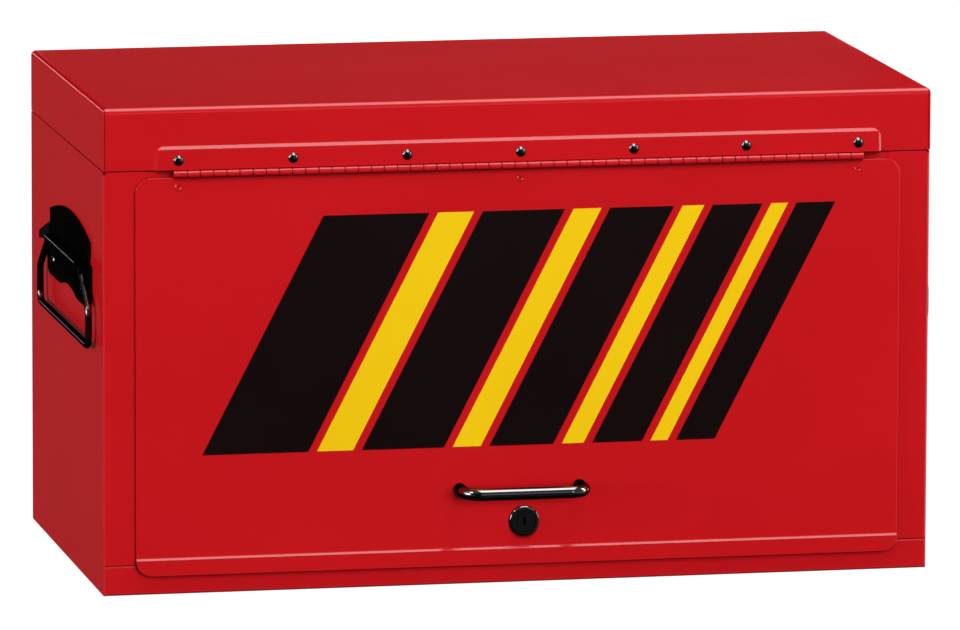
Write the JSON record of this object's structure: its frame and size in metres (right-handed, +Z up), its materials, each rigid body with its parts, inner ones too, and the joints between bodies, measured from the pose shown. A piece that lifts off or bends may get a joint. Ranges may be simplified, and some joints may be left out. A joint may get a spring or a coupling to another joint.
{
  "type": "drawer tool chest",
  "caption": "Steel tool chest with a lift-up lid over a till, a lockable front cover hung from the lid by a piano hinge, drawers on ball slides behind it and a folding bail at each side.",
  "frame": {"origin": "centre of the chest's footprint, on the underside of the bottom pan", "axes": "+X to the chest's right as seen from the front, +Y to the back, +Z up"},
  "size_m": [0.6804, 0.3882, 0.384],
  "materials": {
    "red_paint": "gloss",
    "zinc_steel": "satin",
    "ball_steel": "polished",
    "grip_alloy": "satin",
    "black_enamel": "gloss",
    "black_chrome": "polished",
    "black_film": "gloss",
    "yellow_film": "gloss"
  },
  "bodies": {
    "cabinet": {"side_panel_left": "red_paint", "side_panel_right": "red_paint", "back_panel": "red_paint", "bottom_pan": "red_paint", "till_tray": "red_paint", "slide_posts_left": "zinc_steel", "slide_posts_right": "zinc_steel", "slide_rails_1": "zinc_steel", "slide_rails_2": "zinc_steel", "slide_rails_3": "zinc_steel", "slide_rails_4": "zinc_steel", "rear_hinge_body_leaf": "red_paint", "rear_hinge_body_rivets": "red_paint", "handle_plate_left": "black_enamel", "handle_plate_right": "black_enamel", "handle_rivets": "black_enamel"},
    "bail_left": {"bail_left": "black_enamel"},
    "bail_right": {"bail_right": "black_enamel"},
    "lid": {"lid_cover": "red_paint", "lid_end_left": "red_paint", "lid_end_right": "red_paint", "rear_hinge_lid_leaf": "red_paint", "rear_hinge_lid_rivets": "red_paint", "rear_hinge_pin": "red_paint", "front_hinge_lid_leaf": "red_paint", "front_hinge_pin": "red_paint", "front_hinge_screws": "black_enamel", "front_hinge_nuts": "zinc_steel"},
    "door": {"door_panel": "red_paint", "front_hinge_door_leaf": "red_paint", "door_rivets": "red_paint", "door_stripes_black": "black_film", "door_stripes_yellow": "yellow_film", "door_pull": "black_chrome", "door_pull_screws": "zinc_steel", "lock_barrel": "black_chrome", "lock_nut": "zinc_steel"},
    "lock": {"lock_plug": "black_chrome", "lock_cam": "zinc_steel", "lock_cam_screw": "zinc_steel"},
    "drawer_1": {"drawer_tray_1": "red_paint", "drawer_grip_1": "grip_alloy", "drawer_runners_1": "zinc_steel"},
    "cage_1": {"ball_cages_1": "ball_steel"},
    "drawer_2": {"drawer_tray_2": "red_paint", "drawer_grip_2": "grip_alloy", "drawer_runners_2": "zinc_steel"},
    "cage_2": {"ball_cages_2": "ball_steel"},
    "drawer_3": {"drawer_tray_3": "red_paint", "drawer_grip_3": "grip_alloy", "drawer_runners_3": "zinc_steel"},
    "cage_3": {"ball_cages_3": "ball_steel"},
    "drawer_4": {"drawer_tray_4": "red_paint", "drawer_grip_4": "grip_alloy", "drawer_runners_4": "zinc_steel"},
    "cage_4": {"ball_cages_4": "ball_steel"}
  },
  "joints": [
    {"name": "lid_hinge", "type": "hinge", "parent": "cabinet", "child": "lid", "pos_m": [0, 0.1754, 0.3344], "axis": [-1, 0, 0], "range_deg": [0, 95]},
    {"name": "door_hinge", "type": "hinge", "parent": "lid", "child": "door", "pos_m": [0, -0.176, 0.3318], "axis": [-1, 0, 0], "range_deg": [0, 160]},
    {"name": "lock_turn", "type": "hinge", "parent": "door", "child": "lock", "pos_m": [0.0035, -0.1725, 0.0497], "axis": [0, 1, 0], "range_deg": [0, 90]},
    {"name": "bail_left_pivot", "type": "hinge", "parent": "cabinet", "child": "bail_left", "pos_m": [-0.3359, -0.022, 0.247], "axis": [0, 1, 0], "range_deg": [0, 90]},
    {"name": "bail_right_pivot", "type": "hinge", "parent": "cabinet", "child": "bail_right", "pos_m": [0.3359, -0.022, 0.247], "axis": [0, -1, 0], "range_deg": [0, 90]},
    {"name": "drawer_1_slide", "type": "slide", "parent": "cabinet", "child": "drawer_1", "axis": [0, -1, 0], "range_m": [0, 0.19]},
    {"name": "cage_1_slide", "type": "slide", "parent": "cabinet", "child": "cage_1", "axis": [0, -1, 0], "range_m": [0, 0.095]},
    {"name": "drawer_2_slide", "type": "slide", "parent": "cabinet", "child": "drawer_2", "axis": [0, -1, 0], "range_m": [0, 0.19]},
    {"name": "cage_2_slide", "type": "slide", "parent": "cabinet", "child": "cage_2", "axis": [0, -1, 0], "range_m": [0, 0.095]},
    {"name": "drawer_3_slide", "type": "slide", "parent": "cabinet", "child": "drawer_3", "axis": [0, -1, 0], "range_m": [0, 0.19]},
    {"name": "cage_3_slide", "type": "slide", "parent": "cabinet", "child": "cage_3", "axis": [0, -1, 0], "range_m": [0, 0.095]},
    {"name": "drawer_4_slide", "type": "slide", "parent": "cabinet", "child": "drawer_4", "axis": [0, -1, 0], "range_m": [0, 0.19]},
    {"name": "cage_4_slide", "type": "slide", "parent": "cabinet", "child": "cage_4", "axis": [0, -1, 0], "range_m": [0, 0.095]}
  ],
  "couplings": [
    {"joint": "drawer_1_slide", "follows": "door_hinge", "m_per_rad": 0.068},
    {"joint": "cage_1_slide", "follows": "door_hinge", "m_per_rad": 0.034},
    {"joint": "drawer_2_slide", "follows": "door_hinge", "m_per_rad": 0.068},
    {"joint": "cage_2_slide", "follows": "door_hinge", "m_per_rad": 0.034},
    {"joint": "drawer_3_slide", "follows": "door_hinge", "m_per_rad": 0.068},
    {"joint": "cage_3_slide", "follows": "door_hinge", "m_per_rad": 0.034},
    {"joint": "drawer_4_slide", "follows": "door_hinge", "m_per_rad": 0.068},
    {"joint": "cage_4_slide", "follows": "door_hinge", "m_per_rad": 0.034}
  ]
}
